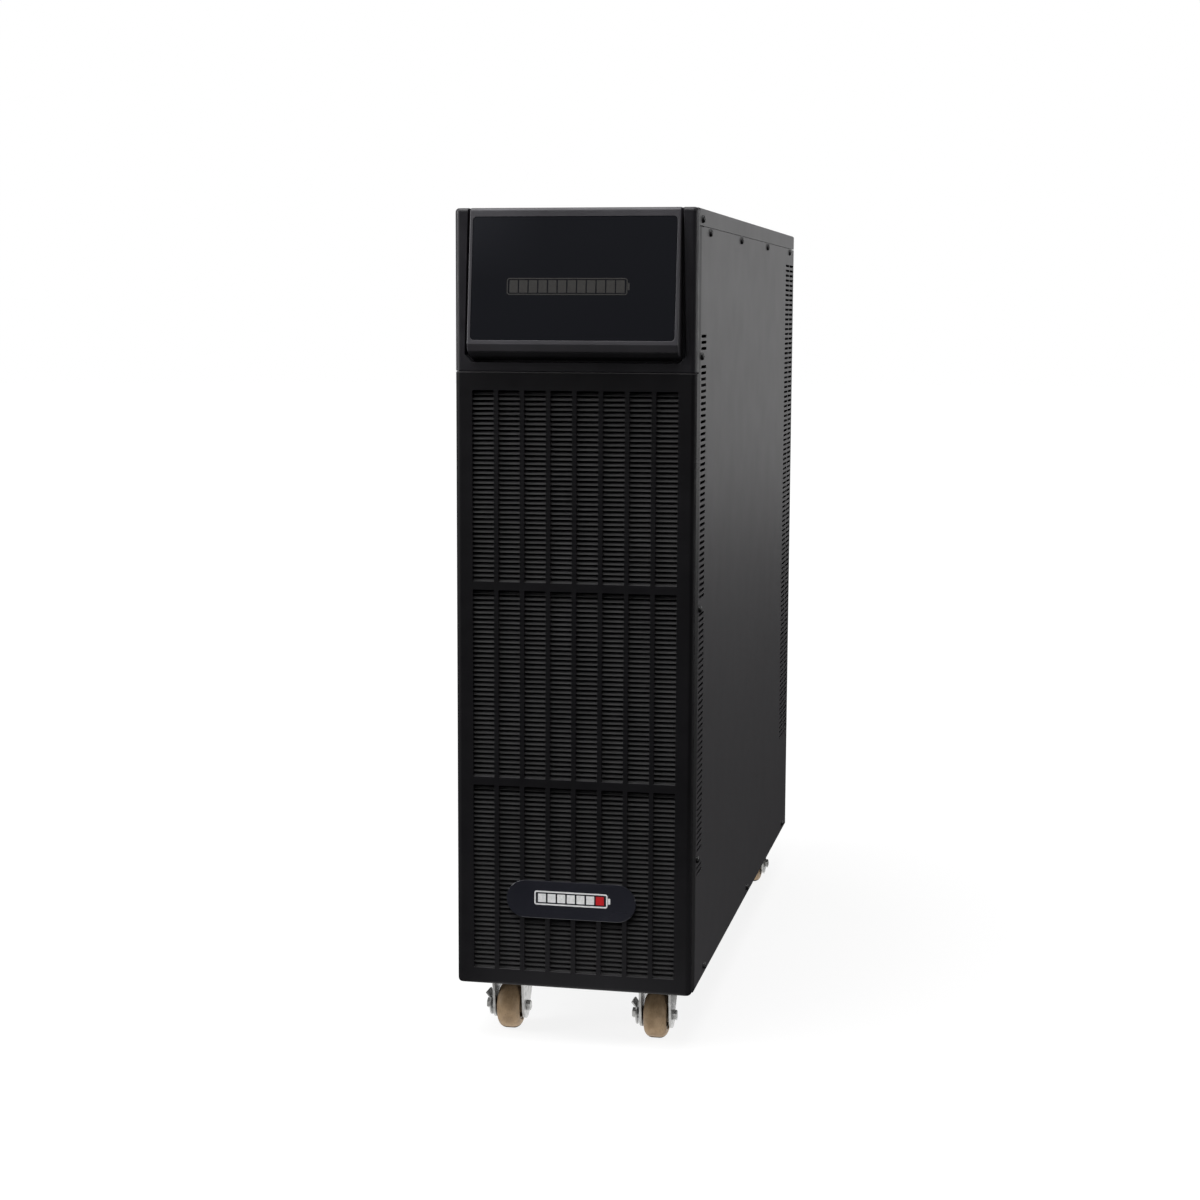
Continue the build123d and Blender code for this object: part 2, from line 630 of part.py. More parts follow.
def dc_connectors():
    """Two panel sockets: a flange outside the rear skin and a shroud through it."""
    pieces = []
    half_x = SOCKET[0] / 2
    half_z = SOCKET[1] / 2
    y1 = REAR + PROUD
    for x, z in SOCKETS_AT:
        shroud = block(x - half_x, x + half_x, y1 - SOCKET_DEEP, y1, z - half_z, z + half_z)
        ears = half_z + 12.0
        flange = block(x - half_x - 3, x + half_x + 3, REAR, REAR + SOCKET_WALL, z - ears, z + ears)
        flange = fillet(flange.edges().filter_by(Axis.Y), 4.0)
        socket = shroud + flange
        inner_x = half_x - SOCKET_WALL
        inner_z = half_z - SOCKET_WALL
        mouth = y1 - SOCKET_DEEP + SOCKET_WALL
        socket -= block(x - inner_x, x + inner_x, mouth, y1 + 1, z - inner_z, z + inner_z)
        for ear in (-1, 1):
            socket -= rod_y(SCREW_HOLE_R, REAR - 5, REAR + 5, x, z + ear * (half_z + 6.0))
        pieces.append(socket)
    return pieces


def connector_contacts():
    """A pair of flat silvered contacts at the back of each socket."""
    pieces = []
    y0 = REAR + PROUD - SOCKET_DEEP + SOCKET_WALL
    for x, z in SOCKETS_AT:
        for side in (-1, 1):
            spot = x + side * 10.0
            pieces.append(block(spot - 6.0, spot + 6.0, y0, y0 + 12.0, z - 1.5, z + 1.5))
    return pieces


def ground_stud():
    """The earth stud: a flanged hexagon outside the rear skin, a washer and a nut inside it."""
    x, z = EARTH_AT
    flange = 1.2
    outward = Pos(x, REAR, z) * Rot(-90, 0, 0)
    stud = rod_z(EARTH_R, -SHEET - 9.0, PROUD)
    stud += rod_z(6.0, 0, flange) + hexagon_z(10.0, flange, flange + 5.0)
    inward = Pos(x, REAR - SHEET, z) * Rot(90, 0, 0)
    washer = rod_z(6.0, 0, flange) - rod_z(EARTH_R, -1, flange + 1)
    nut = hexagon_z(10.0, flange, flange + 5.0) - rod_z(EARTH_R, 0, 10)
    return [outward * stud, inward * washer, inward * nut]


def fuse_spots():
    """The middle of each string fuse."""
    return [(x, REAR - 60.0, FUSES_AT_Z) for x in (-34.0, 0.0, 34.0)]


def fuse_blocks():
    """Three open fuse bases on a bar across the rear of the cabinet."""
    pieces = []
    for x, y, z in fuse_spots():
        base = block(x - 12, x + 12, y + 8, y + 18, z - 36, z + 36)
        for end in (-1, 1):
            middle = z + end * 26.0
            base += block(x - 8, x + 8, y - 6, y + 8, middle - 4, middle + 4)
        pieces.append(base)
    pieces.append(block(-TRAY_HALF, TRAY_HALF, REAR - 42, REAR - 40, FUSES_AT_Z - 20, FUSES_AT_Z + 20))
    return pieces


def string_fuses():
    """Three cartridge fuses between the bases' clips."""
    return [rod_z(5.0, z - 22.0, z + 22.0, x, y) for x, y, z in fuse_spots()]


def cable(points, radius, bend):
    """A round cable along straight runs joined by arcs."""
    path = FilletPolyline(*points, radius=bend)
    start = Vector(*points[0])
    heading = Vector(*points[1]) - start
    return sweep(Plane(origin=start, z_dir=heading) * Circle(radius), path=path)


def battery_cable(side):
    """From a fuse base up to one pole of the breaker. side is -1 or +1."""
    x = BREAKER_AT[0] + side * 9.0
    foot = (side * 34.0, REAR - 70.0, FUSES_AT_Z + 40.0)
    y = REAR - SHEET - BREAKER_BODY[1] + 12.0
    under = BREAKER_AT[1] - BREAKER_BODY[2] / 2
    route = [foot, (foot[0], foot[1], foot[2] + 30), (x, y, under - 30), (x, y, under)]
    return cable(route, 3.5, 14.0)


# ---- casters ------------------------------------------------------------------------------

def casters():
    """Each caster's kingpin, and which way its wheel lies from it: -1 is towards the front."""
    front_x, front_inset = FRONT_CASTERS
    rear_x, rear_inset = REAR_CASTERS
    return [
        (-front_x, FRONT + front_inset, -1),
        (front_x, FRONT + front_inset, -1),
        (-rear_x, REAR - rear_inset, 1),
        (rear_x, REAR - rear_inset, 1),
    ]


def plate_holes():
    """The four bolt holes of a caster's top plate, about its kingpin."""
    across, along = PLATE_HOLES
    return [(sx * across / 2, sy * along / 2) for sx in (-1, 1) for sy in (-1, 1)]


def caster_plate():
    """Top plate, upper race and the riveted kingpin that the fork turns on."""
    high = BASE - PLATE[2]
    plate = Pos(0, 0, high) * extrude(RectangleRounded(PLATE[0], PLATE[1], 7.0), amount=PLATE[2])
    for x, y in plate_holes():
        plate -= rod_z(PLATE_HOLE_R, high - 1, BASE + 1, x, y)
    plate += rod_z(16.0, CROWN_LOW + FORK_SHEET + 1.0, high)
    plate += rod_z(KINGPIN_R, CROWN_LOW - 2.0, high)
    rivet = rod_z(8.0, CROWN_LOW - 2.0, CROWN_LOW - 0.3)
    rivet = chamfer(rivet.edges().group_by(Axis.Z)[0], 0.7)
    return plate + rivet


def fork_leg():
    """One leg of the fork: broad at the crown, rounded about the axle."""
    axle = (-TRAIL, WHEEL_R)
    top = CROWN_LOW + FORK_SHEET
    outline = Polyline((-CROWN_FRONT, top), (axle[0] - LEG_R, axle[1]))
    outline += ThreePointArc(
        (axle[0] - LEG_R, axle[1]), (axle[0], axle[1] - LEG_R), (axle[0] + LEG_R, axle[1])
    )
    outline += Polyline((axle[0] + LEG_R, axle[1]), (CROWN_BACK - 4.0, top), (-CROWN_FRONT, top))
    leg = extrude(make_face(outline), amount=FORK_SHEET)
    leg -= Pos(*axle, -1) * Cylinder(AXLE_R + FIT, 10, align=(Align.CENTER, Align.CENTER, Align.MIN))
    return Plane.YZ.location * leg


def caster_fork():
    """The pressed fork: crown, swivel race and two legs."""
    top = CROWN_LOW + FORK_SHEET
    crown = block(-FORK_HALF, FORK_HALF, -CROWN_FRONT, CROWN_BACK, CROWN_LOW, top)
    crown = fillet(edges_along(crown, Axis.Z, lambda c: c.Y > 0), 10.0)
    crown += rod_z(RACE_R, CROWN_LOW, top)
    leg = fork_leg()
    fork = crown + Pos(FORK_HALF - FORK_SHEET, 0, 0) * leg + Pos(-FORK_HALF, 0, 0) * leg
    outer = edges_along(fork, Axis.Y, lambda c: c.Z > top - 0.1 and abs(c.X) > FORK_HALF - 0.1)
    fork = fillet(outer, 1.5)
    fork += rod_z(RACE_R, top, top + 4.5) - rod_z(17.0, top - 1, top + 6)
    return fork - rod_z(KINGPIN_R + FIT, CROWN_LOW - 1, top + 1)


def caster_axle(braked):
    """The axle bolt, with its head on one side and a nut on the other."""
    left = -(BRAKE_X + BRAKE_SHEET + 0.3) if braked else -FORK_HALF
    bolt = rod_x(AXLE_R, left - 5.0, FORK_HALF, -TRAIL, WHEEL_R)
    turned = Pos(0, -TRAIL, WHEEL_R) * Rot(0, 90, 0)
    head = turned * hexagon_z(10.0, FORK_HALF, FORK_HALF + 4.0)
    nut = turned * hexagon_z(10.0, left - 4.5, left)
    return bolt + head + nut


def wheel_core():
    """The moulded wheel centre: hub, web and rim, with its running bore."""
    rim = rod_x(CORE_R, -TREAD_HALF + 1.0, TREAD_HALF - 1.0, 0, 0)
    hub = rod_x(HUB_R, -FORK_HALF + FORK_SHEET + 0.3, FORK_HALF - FORK_SHEET - 0.3, 0, 0)
    core = rim + hub
    for side in (-1, 1):
        face = side * (TREAD_HALF - 1.0)
        dish = rod_x(CORE_R - 2.5, min(face, face - side * 4.0), max(face, face - side * 4.0), 0, 0)
        core -= dish - rod_x(HUB_R, -20, 20, 0, 0)
    core -= rod_x(AXLE_R + FIT, -20, 20, 0, 0)
    return Pos(0, -TRAIL, WHEEL_R) * core


def wheel_tread():
    """The solid tyre, well rounded at both shoulders."""
    tyre = rod_x(WHEEL_R, -TREAD_HALF, TREAD_HALF, 0, 0)
    shoulders = [e for e in tyre.edges().filter_by(GeomType.CIRCLE)]
    tyre = fillet(shoulders, TREAD_CORNER)
    tyre -= rod_x(CORE_R, -20, 20, 0, 0)
    return Pos(0, -TRAIL, WHEEL_R) * tyre


def brake_lever():
    """A pressed side lever on the axle; its upper end is bent out as a foot tab."""
    y, z = -TRAIL, WHEEL_R
    outer = -(BRAKE_X + BRAKE_SHEET)
    lever = rod_x(12.0, outer, -BRAKE_X, y, z)
    lever += block(outer, -BRAKE_X, y - 10, y + 8, z, z + 9)
    tab = [(outer, z + 8), (-BRAKE_X, z + 8), (-BRAKE_X - 4.5, z + 15), (outer - 4.8, z + 14)]
    lever += along_y(tab, y - 10, y + 8)
    lever += rod_x(5.5, -BRAKE_X, -FORK_HALF - 0.3, y, z)
    return lever - rod_x(AXLE_R + FIT, outer - 1, 0, y, z)


def placed(piece, spot):
    """A caster piece carried to one corner of the cabinet."""
    x, y, way = spot
    turn = 0 if way < 0 else 180
    return Pos(x, y, 0) * Rot(0, 0, turn) * piece


def caster_bolts():
    """Four bolts for each caster, heads below the plate and nuts inside the pan."""
    pieces = []
    for x, y, _ in casters():
        for hole_x, hole_y in plate_holes():
            spot = Pos(x + hole_x, y + hole_y, 0)
            low = BASE - PLATE[2]
            head = fillet(rod_z(5.0, low - 3.3, low).edges().group_by(Axis.Z)[0], 1.5)
            pieces.append(spot * (head + rod_z(3.0, low, BASE + PAN_SHEET + 7.0)))
            nut = hexagon_z(10.0, BASE + PAN_SHEET, BASE + PAN_SHEET + 5.0)
            pieces.append(spot * (nut - rod_z(3.0, BASE, BASE + 10)))
    return pieces


# ---- write every sub-part -----------------------------------------------------------------

def main():
    os.makedirs("parts", exist_ok=True)
    save("base_pan", base_pan())
    save("left_side_panel", side_panel(-1))
    save("right_side_panel", side_panel(1))
    save("top_cover", top_cover())
    save("rear_panel", rear_panel())
    save("front_uprights", *front_uprights())
    save("front_crossbars", *front_crossbars())
    save("inner_frame", *inner_frame())
    save("upper_fascia", upper_fascia())
    save("display_housing", display_housing())
    save("display_window", display_window())
    save("lower_fascia", lower_fascia())
    save("grille_louvres", *grille_louvres())
    save("grille_filter", grille_filter())
    save("badge", badge())
    save("panel_screws", *panel_screws())
    for tier in range(TIERS):
        save(f"battery_tray_{tier + 1}", battery_tray(tier))
        save(f"batteries_{tier + 1}", *batteries(tier))
    save("battery_links", *battery_links())
    save("battery_retainers", *battery_retainers())
    save("dc_breaker", dc_breaker())
    save("breaker_toggle", breaker_toggle())
    save("dc_connectors", *dc_connectors())
    save("connector_contacts", *connector_contacts())
    save("ground_stud", *ground_stud())
    save("fuse_blocks", *fuse_blocks())
    save("string_fuses", *string_fuses())
    save("positive_cable", battery_cable(1))
    save("negative_cable", battery_cable(-1))
    save("caster_bolts", *caster_bolts())
    names = ("front_left", "front_right", "rear_left", "rear_right")
    for name, spot in zip(names, casters()):
        braked = spot[2] < 0
        save(f"caster_plate_{name}", placed(caster_plate(), spot))
        save(f"caster_fork_{name}", placed(caster_fork(), spot))
        save(f"caster_axle_{name}", placed(caster_axle(braked), spot))
        save(f"wheel_core_{name}", placed(wheel_core(), spot))
        save(f"wheel_tread_{name}", placed(wheel_tread(), spot))
        if braked:
            save(f"brake_lever_{name}", placed(brake_lever(), spot))


main()
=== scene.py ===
"""Looks of the battery cabinet: materials, finer meshes, symbols, stage, lights and camera."""

import json
import math

import bmesh
import bpy
from mathutils import Matrix, Vector

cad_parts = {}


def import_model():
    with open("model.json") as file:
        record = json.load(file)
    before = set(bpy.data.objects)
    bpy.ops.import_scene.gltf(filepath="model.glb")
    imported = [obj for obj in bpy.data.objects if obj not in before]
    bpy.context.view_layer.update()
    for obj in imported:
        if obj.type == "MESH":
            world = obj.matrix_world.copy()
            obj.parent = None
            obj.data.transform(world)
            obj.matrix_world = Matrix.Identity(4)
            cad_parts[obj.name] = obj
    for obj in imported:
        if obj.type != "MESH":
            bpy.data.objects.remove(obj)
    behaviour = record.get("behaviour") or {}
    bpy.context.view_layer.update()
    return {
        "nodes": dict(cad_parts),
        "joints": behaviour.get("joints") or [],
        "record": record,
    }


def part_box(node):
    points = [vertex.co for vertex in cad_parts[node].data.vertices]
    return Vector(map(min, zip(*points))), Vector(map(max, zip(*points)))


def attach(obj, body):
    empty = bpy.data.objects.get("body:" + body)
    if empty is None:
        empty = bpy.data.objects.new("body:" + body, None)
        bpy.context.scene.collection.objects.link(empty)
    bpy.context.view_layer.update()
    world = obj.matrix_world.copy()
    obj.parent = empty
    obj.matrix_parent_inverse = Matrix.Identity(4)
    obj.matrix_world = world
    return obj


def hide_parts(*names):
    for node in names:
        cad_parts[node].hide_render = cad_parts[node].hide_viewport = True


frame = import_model()
nodes = frame["nodes"]

MM = 0.001
CORNERS = ("front_left", "front_right", "rear_left", "rear_right")
FRONT_CORNERS = CORNERS[:2]

# camera: where the viewer stands, how it is turned, and its lens
CAMERA_AT = (0.4775, -2.598, 0.7628)
CAMERA_YAW = 11.61       # degrees, towards -X from straight ahead
CAMERA_PITCH = -7.30     # degrees, downwards
CAMERA_ROLL = 0.24
CAMERA_LENS = 66.2       # on a 36 mm sensor


# ---- shader helpers -----------------------------------------------------------------------

def new_material(name, colour, roughness, metallic=0.0, specular=0.5, coat=0.0):
    """A Principled material; returns it with its node tree and shader."""
    mat = bpy.data.materials.new(name)
    mat.use_nodes = True
    mat.diffuse_color = (*colour, 1)
    shader = mat.node_tree.nodes["Principled BSDF"]
    shader.inputs["Base Color"].default_value = (*colour, 1)
    shader.inputs["Roughness"].default_value = roughness
    shader.inputs["Metallic"].default_value = metallic
    shader.inputs["Specular IOR Level"].default_value = specular
    shader.inputs["Coat Weight"].default_value = coat
    shader.inputs["Coat Roughness"].default_value = 0.06
    return mat, mat.node_tree, shader


def object_place(tree, stretch=(1, 1, 1)):
    """Object coordinates in metres, optionally stretched."""
    coords = tree.nodes.new("ShaderNodeTexCoord")
    mapping = tree.nodes.new("ShaderNodeMapping")
    mapping.inputs["Scale"].default_value = stretch
    tree.links.new(coords.outputs["Object"], mapping.inputs["Vector"])
    return mapping.outputs["Vector"]


def noise(tree, scale, detail=3.0, stretch=(1, 1, 1)):
    """Fractal noise; scale is in features per metre."""
    node = tree.nodes.new("ShaderNodeTexNoise")
    node.inputs["Scale"].default_value = scale
    node.inputs["Detail"].default_value = detail
    tree.links.new(object_place(tree, stretch), node.inputs["Vector"])
    return node.outputs["Fac"]


def cells(tree, scale):
    """Distance from the middle of Voronoi cells; scale is in cells per metre."""
    node = tree.nodes.new("ShaderNodeTexVoronoi")
    node.inputs["Scale"].default_value = scale
    tree.links.new(object_place(tree), node.inputs["Vector"])
    return node.outputs["Distance"]


def spread(tree, value, low, high, out_low, out_high):
    """Maps a value's range onto another range."""
    node = tree.nodes.new("ShaderNodeMapRange")
    node.inputs["From Min"].default_value = low
    node.inputs["From Max"].default_value = high
    node.inputs["To Min"].default_value = out_low
    node.inputs["To Max"].default_value = out_high
    tree.links.new(value, node.inputs["Value"])
    return node.outputs["Result"]


def multiply(tree, a, b):
    """Product of two values."""
    node = tree.nodes.new("ShaderNodeMath")
    node.operation = "MULTIPLY"
    tree.links.new(a, node.inputs[0])
    tree.links.new(b, node.inputs[1])
    return node.outputs[0]


# the Mix node shares socket names between its data types, so its colour sockets go by number
MIX_COLOUR_A = 6
MIX_COLOUR_B = 7
MIX_COLOUR_OUT = 2


def blend_colours(tree, factor, colour_a, colour_b):
    """Colour a where the factor is 0, colour b where it is 1. Each is a colour or a socket."""
    node = tree.nodes.new("ShaderNodeMix")
    node.data_type = "RGBA"
    tree.links.new(factor, node.inputs["Factor"])
    for number, colour in ((MIX_COLOUR_A, colour_a), (MIX_COLOUR_B, colour_b)):
        socket = node.inputs[number]
        if isinstance(colour, tuple):
            socket.default_value = (*colour, 1)
        else:
            tree.links.new(colour, socket)
    return node.outputs[MIX_COLOUR_OUT]


def set_colour(tree, shader, socket):
    """Drives the base colour."""
    tree.links.new(socket, shader.inputs["Base Color"])


def set_roughness(tree, shader, socket):
    """Drives the roughness."""
    tree.links.new(socket, shader.inputs["Roughness"])


def set_bump(tree, shader, height, depth):
    """Surface relief of a depth in metres."""
    node = tree.nodes.new("ShaderNodeBump")
    node.inputs["Strength"].default_value = 1.0
    node.inputs["Distance"].default_value = depth
    tree.links.new(height, node.inputs["Height"])
    tree.links.new(node.outputs["Normal"], shader.inputs["Normal"])


def edge_wear_and_highlight(tree, radius=0.0012):
    """1 on convex edges and 0 on flats, from the difference between true and rounded normals."""
    bevel = tree.nodes.new("ShaderNodeBevel")
    bevel.samples = 4
    bevel.inputs["Radius"].default_value = radius
    geometry = tree.nodes.new("ShaderNodeNewGeometry")
    dot = tree.nodes.new("ShaderNodeVectorMath")
    dot.operation = "DOT_PRODUCT"
    tree.links.new(bevel.outputs["Normal"], dot.inputs[0])
    tree.links.new(geometry.outputs["Normal"], dot.inputs[1])
    return spread(tree, dot.outputs["Value"], 0.98, 0.80, 0.0, 1.0)


def facing_up(tree, low, high):
    """0 on walls and 1 on faces that point up, where dust settles and top light is painted."""
    geometry = tree.nodes.new("ShaderNodeNewGeometry")
    split = tree.nodes.new("ShaderNodeSeparateXYZ")
    tree.links.new(geometry.outputs["Normal"], split.inputs[0])
    return spread(tree, split.outputs["Z"], low, high, 0.0, 1.0)


# ---- materials ----------------------------------------------------------------------------

COAT_TINT = (1.02, 0.975, 1.05)     # the coat's black is faintly purple
# the tone of upward faces: settled dust, with painted top light
DUST_AND_TOP_LIGHT_TONE = (0.085, 0.083, 0.086)


def mottled(name, dark, light, rough, grain, depth, metallic=0.0, coat=0.0):
    """A finish with soft colour drift, uneven roughness and a fine grain relief.
    rough is (low, high); grain is features per metre; depth is in metres."""
    middle = tuple((a + b) / 2 for a, b in zip(dark, light))
    mat, tree, shader = new_material(name, middle, sum(rough) / 2, metallic, coat=coat)
    drift = noise(tree, 9.0, 4.0)
    set_colour(tree, shader, blend_colours(tree, spread(tree, drift, 0.35, 0.65, 0, 1), dark, light))
    set_roughness(tree, shader, spread(tree, noise(tree, 55.0, 5.0), 0.3, 0.7, *rough))
    set_bump(tree, shader, noise(tree, grain, 2.0), depth)
    return mat


def powder_coat(name, shade=1.0):
    """Satin powder coat: orange-peel relief, faint drift down the sheet, rubbed edges.
    A shade below 1 gives a darker, less glossy copy: painted shade."""
    def toned(level):
        return tuple(tint * shade * level for tint in COAT_TINT)

    mat, tree, shader = new_material(name, toned(0.052), 0.44, specular=0.42 * shade)
    drift = noise(tree, 7.0, 3.0, stretch=(2.0, 2.0, 0.4))
    body = blend_colours(tree, spread(tree, drift, 0.3, 0.7, 0, 1), toned(0.0508), toned(0.0534))
    speck = spread(tree, noise(tree, 1500.0, 1.0), 0.62, 0.72, 0.0, 0.25)
    body = blend_colours(tree, speck, body, toned(0.077))
    rub = multiply(tree, edge_wear_and_highlight(tree), spread(tree, noise(tree, 70.0, 4.0), 0.45, 0.62, 0, 0.6))
    set_colour(tree, shader, blend_colours(tree, rub, body, toned(0.14)))
    set_roughness(tree, shader, spread(tree, noise(tree, 22.0, 4.0), 0.3, 0.7, 0.43, 0.46))
    set_bump(tree, shader, noise(tree, 620.0, 2.0), 0.00005)
    return mat


def moulded_black(name, tone, rough, specular=0.35, dust_and_top_light=0.0):
    """Spark-textured black plastic with a painted highlight on its edges, and on its ledges dust with
    painted top light.
    """
    dark = tuple(0.85 * c for c in tone)
    light = tuple(1.2 * c for c in tone)
    mat, tree, shader = new_material(name, tone, sum(rough) / 2, specular=specular)
    drift = spread(tree, noise(tree, 11.0, 5.0), 0.35, 0.65, 0, 1)
    body = blend_colours(tree, drift, dark, light)
    # painted highlight: convex edges are drawn 2.2 times lighter, as where light catches them
    painted_edge_highlight = edge_wear_and_highlight(tree, 0.0009)
    edge = tuple(2.2 * c for c in tone)
    body = blend_colours(tree, painted_edge_highlight, body, edge)
    # upward faces lighter: settled dust, with painted top light that draws the lit crests of ledges
    # and slats
    dust_and_top_light_mask = multiply(tree, facing_up(tree, 0.62, 0.70), spread(tree, drift, 0, 1, 0.7 * dust_and_top_light, dust_and_top_light))
    set_colour(tree, shader, blend_colours(tree, dust_and_top_light_mask, body, DUST_AND_TOP_LIGHT_TONE))
    set_roughness(tree, shader, spread(tree, noise(tree, 60.0, 5.0), 0.3, 0.7, *rough))
    set_bump(tree, shader, noise(tree, 1700.0, 2.0), 0.00004)
    return mat


def gloss_window():
    """Dark tinted acrylic: the faintest wipe marks, and a painted sheen that lightens towards its
    upper left corner.
    """
    tone = (0.0045, 0.0050, 0.0078)
    mat, tree, shader = new_material("window_gloss", tone, 0.1, specular=0.4, coat=0.3)
    low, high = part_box("display_window")
    middle = (low + high) / 2
    place = tree.nodes.new("ShaderNodeSeparateXYZ")
    tree.links.new(object_place(tree), place.inputs[0])
    # painted sheen: the colour lightens towards the upper left corner, as where light is reflected
    to_left = spread(tree, place.outputs["X"], middle.x - 30 * MM, low.x + 5 * MM, 0.0, 1.0)
    to_top = spread(tree, place.outputs["Z"], middle.z, high.z, 0.0, 0.7)
    cloud = spread(tree, noise(tree, 6.0, 3.0), 0.3, 0.7, 0.6, 1.0)
    painted_sheen = multiply(tree, multiply(tree, to_left, to_top), cloud)
    set_colour(tree, shader, blend_colours(tree, painted_sheen, tone, (0.019, 0.020, 0.025)))
    wipes = noise(tree, 30.0, 6.0, stretch=(0.4, 1.0, 2.2))
    set_roughness(tree, shader, spread(tree, wipes, 0.35, 0.75, 0.07, 0.16))
    return mat


def zinc():
    """Bright zinc plate: small spangles, dulled in patches."""
    mat, tree, shader = new_material("zinc_plate", (0.40, 0.40, 0.39), 0.34, metallic=0.6)
    spangle = cells(tree, 420.0)
    patch = spread(tree, noise(tree, 120.0, 4.0), 0.35, 0.7, 0, 1)
    bright = blend_colours(tree, spangle, (0.45, 0.45, 0.44), (0.36, 0.36, 0.35))
    set_colour(tree, shader, blend_colours(tree, patch, bright, (0.25, 0.245, 0.235)))
    set_roughness(tree, shader, spread(tree, noise(tree, 260.0, 5.0), 0.3, 0.7, 0.24, 0.46))
    set_bump(tree, shader, noise(tree, 900.0, 2.0), 0.00003)
    return mat


def tan_tyre():
    """Tan moulded tyre, scuffed and a little dusty."""
    mat, tree, shader = new_material("wheel_tread", (0.22, 0.15, 0.083), 0.62, specular=0.3)
    drift = spread(tree, noise(tree, 90.0, 6.0), 0.35, 0.65, 0, 1)
    body = blend_colours(tree, drift, (0.175, 0.116, 0.062), (0.260, 0.180, 0.104))
    scuffs = spread(tree, noise(tree, 420.0, 4.0, stretch=(4.0, 1.0, 1.0)), 0.56, 0.68, 0, 0.6)
    set_colour(tree, shader, blend_colours(tree, scuffs, body, (0.10, 0.070, 0.042)))
    set_roughness(tree, shader, spread(tree, noise(tree, 150.0, 4.0), 0.3, 0.7, 0.50, 0.72))
    set_bump(tree, shader, noise(tree, 700.0, 4.0), 0.00012)
    return mat


def foam():
    """Open-cell black foam."""
    mat, tree, shader = new_material("filter_foam", (0.004, 0.004, 0.0045), 0.95, specular=0.1)
    pores = cells(tree, 900.0)
    tone = blend_colours(tree, pores, (0.002, 0.002, 0.002), (0.008, 0.008, 0.009))
    set_colour(tree, shader, tone)
    set_bump(tree, shader, pores, 0.0006)
    return mat


def printed(name, tone):
    """Screen-printed ink: a little uneven."""
    mat, tree, shader = new_material(name, tone, 0.45, specular=0.3)
    thin = tuple(0.8 * c for c in tone)
    patch = spread(tree, noise(tree, 500.0, 3.0), 0.3, 0.7, 0, 1)
    set_colour(tree, shader, blend_colours(tree, patch, thin, tone))
    return mat


MATERIALS = {
    "powder_coat": powder_coat("powder_coat"),
    "chassis_steel": mottled(
        "chassis_steel", (0.035, 0.035, 0.037), (0.05, 0.05, 0.052), (0.4, 0.55), 620.0, 0.00006
    ),
    "fascia_plastic": moulded_black(
        "fascia_plastic", (0.0066, 0.0062, 0.0074), (0.48, 0.62), 0.15, dust_and_top_light=0.6
    ),
    "bezel_plastic": moulded_black("bezel_plastic", (0.056, 0.054, 0.060), (0.34, 0.46), 0.3),
    "window_gloss": gloss_window(),
    "filter_foam": foam(),
    "badge_gloss": mottled(
        "badge_gloss", (0.013, 0.0135, 0.019), (0.018, 0.0185, 0.025), (0.16, 0.26), 300.0, 0.00001,
        coat=0.4,
    ),
    "black_screw": mottled(
        "black_screw", (0.010, 0.010, 0.010), (0.022, 0.022, 0.023), (0.28, 0.45), 1500.0, 0.00003
    ),
    "battery_case": mottled(
        "battery_case", (0.055, 0.055, 0.06), (0.08, 0.08, 0.085), (0.5, 0.65), 900.0, 0.00005
    ),
    "tinned_brass": mottled(
        "tinned_brass", (0.50, 0.48, 0.42), (0.66, 0.63, 0.55), (0.3, 0.45), 800.0, 0.00003, 1.0
    ),
    "moulded_grey": mottled(
        "moulded_grey", (0.34, 0.35, 0.35), (0.42, 0.43, 0.43), (0.38, 0.5), 1200.0, 0.00003
    ),
    "fuse_ceramic": mottled(
        "fuse_ceramic", (0.62, 0.60, 0.55), (0.74, 0.72, 0.66), (0.2, 0.3), 500.0, 0.00002
    ),
    "toggle_plastic": mottled(
        "toggle_plastic", (0.012, 0.012, 0.014), (0.02, 0.02, 0.022), (0.25, 0.38), 1200.0, 0.00003
    ),
    "connector_plastic": mottled(
        "connector_plastic", (0.030, 0.031, 0.035), (0.045, 0.046, 0.052), (0.4, 0.52), 1400.0, 0.00005
    ),
    "silvered_contact": mottled(
        "silvered_contact", (0.62, 0.61, 0.58), (0.80, 0.79, 0.76), (0.18, 0.32), 700.0, 0.00002, 1.0
    ),
    "stud_brass": mottled(
        "stud_brass", (0.50, 0.36, 0.17), (0.66, 0.50, 0.25), (0.25, 0.4), 800.0, 0.00004, 1.0
    ),
    "cable_red": mottled(
        "cable_red", (0.30, 0.02, 0.02), (0.42, 0.03, 0.03), (0.4, 0.55), 600.0, 0.00004
    ),
    "cable_black": mottled(
        "cable_black", (0.012, 0.012, 0.012), (0.022, 0.022, 0.022), (0.4, 0.55), 600.0, 0.00004
    ),
    "wheel_core": mottled(
        "wheel_core", (0.120, 0.084, 0.048), (0.170, 0.122, 0.072), (0.45, 0.6), 800.0, 0.00006
    ),
    "wheel_tread": tan_tyre(),
    "zinc_plate": zinc(),
}
UPPER_FASCIA = moulded_black(
    "upper_fascia_plastic", (0.0130, 0.0122, 0.0152), (0.40, 0.54), dust_and_top_light=0.25
)
LOUVRE = moulded_black("louvre_plastic", (0.0034, 0.0031, 0.0036), (0.42, 0.54), 0.18, dust_and_top_light=0.35)
# the uprights wear the panels' powder coat, darkened to a painted shade and less glossy
UPRIGHT_SHADED_COAT = powder_coat("upright_shaded_coat", 0.35)
INK_WHITE = printed("ink_white", (0.85, 0.85, 0.85))
INK_RED = printed("ink_red", (0.60, 0.015, 0.02))
INK_GREY = printed("ink_grey", (0.048, 0.046, 0.044))
PLATE_METAL = mottled(
    "rating_plate", (0.42, 0.42, 0.43), (0.55, 0.55, 0.56), (0.28, 0.4), 500.0, 0.00002, 1.0
)


